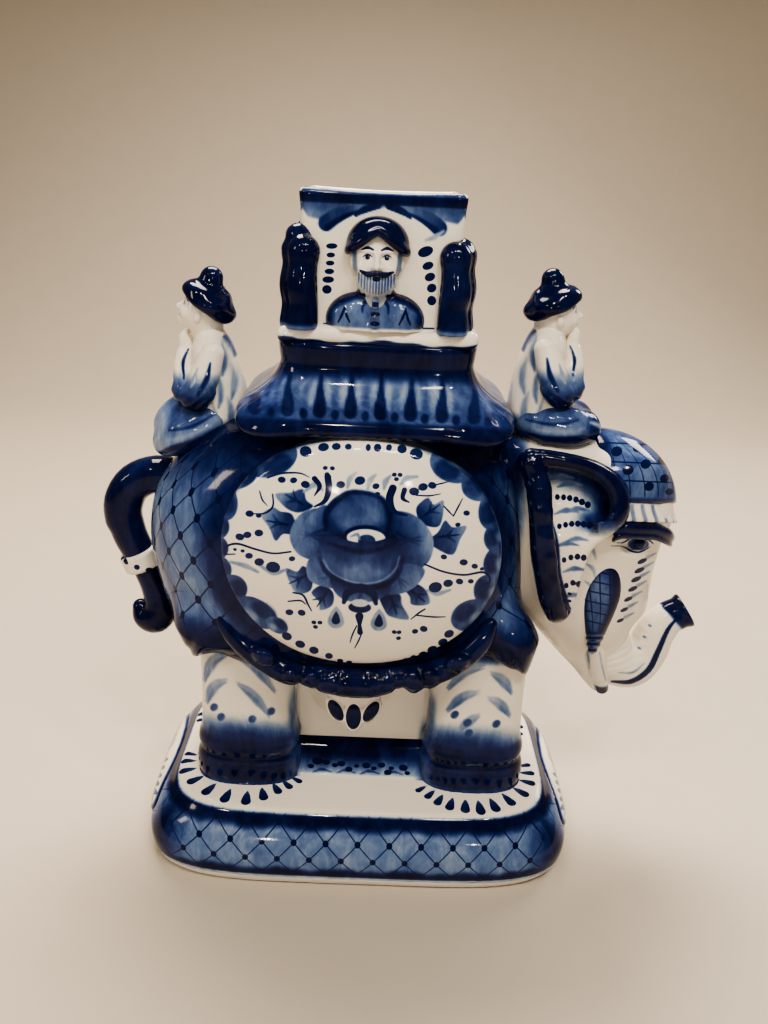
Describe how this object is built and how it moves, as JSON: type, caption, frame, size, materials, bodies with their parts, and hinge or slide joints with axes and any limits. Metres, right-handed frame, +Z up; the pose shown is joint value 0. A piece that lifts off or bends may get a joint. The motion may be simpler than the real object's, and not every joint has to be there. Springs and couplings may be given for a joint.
{
  "type": "teapot",
  "caption": "Folk porcelain teapot shaped as an elephant with a howdah neck for filling, trunk spout and tail handle, glazed white with cobalt blue painting.",
  "frame": {"origin": "centre of the foot ring's underside, on the surface the teapot stands on", "axes": "+X towards the trunk spout, -Y the near flank, +Z up through the howdah neck"},
  "size_m": [0.2693, 0.1262, 0.29],
  "materials": {
    "white_glaze": "clear gloss glaze over white porcelain",
    "cobalt_glaze": "solid cobalt under clear gloss glaze",
    "lattice_glaze": "washed cobalt pattern under clear gloss glaze",
    "foot_bisque": "wiped foot ring, satin"
  },
  "bodies": {
    "root": {"belly_support": "white_glaze", "body_shell": "lattice_glaze", "brow_band": "cobalt_glaze", "cartouche_front": "white_glaze", "cartouche_rear": "white_glaze", "cheek_guard_far": "lattice_glaze", "cheek_guard_near": "lattice_glaze", "drape_front_far": "cobalt_glaze", "drape_front_near": "cobalt_glaze", "drape_rear_far": "cobalt_glaze", "drape_rear_near": "cobalt_glaze", "ear_far": "white_glaze", "ear_near": "white_glaze", "elephant_head": "white_glaze", "flap_front_far": "cobalt_glaze", "flap_front_near": "cobalt_glaze", "flap_rear_far": "cobalt_glaze", "flap_rear_near": "cobalt_glaze", "foot_ring": "foot_bisque", "forehead_cap": "lattice_glaze", "front_rider_arms": "white_glaze", "front_rider_head": "white_glaze", "front_rider_legs": "lattice_glaze", "front_rider_torso": "white_glaze", "front_rider_turban": "cobalt_glaze", "hem_far": "cobalt_glaze", "hem_near": "cobalt_glaze", "howdah_ledge": "white_glaze", "howdah_skirt": "lattice_glaze", "leg_fore_far": "white_glaze", "leg_fore_near": "white_glaze", "leg_hind_far": "white_glaze", "leg_hind_near": "white_glaze", "medallion_far": "white_glaze", "medallion_near": "white_glaze", "neck_shell": "white_glaze", "pendant_far": "white_glaze", "pendant_near": "white_glaze", "plinth": "lattice_glaze", "rajah_bust_far": "lattice_glaze", "rajah_bust_near": "lattice_glaze", "rajah_head_far": "white_glaze", "rajah_head_near": "white_glaze", "rajah_turban_far": "cobalt_glaze", "rajah_turban_near": "cobalt_glaze", "rear_rider_arms": "white_glaze", "rear_rider_head": "white_glaze", "rear_rider_legs": "lattice_glaze", "rear_rider_torso": "white_glaze", "rear_rider_turban": "cobalt_glaze", "support_step": "lattice_glaze", "tail_handle": "cobalt_glaze", "tail_ring": "white_glaze", "tail_tuft": "cobalt_glaze", "trunk_spout": "white_glaze", "tusk_far": "white_glaze", "tusk_near": "white_glaze"}
  },
  "joints": []
}
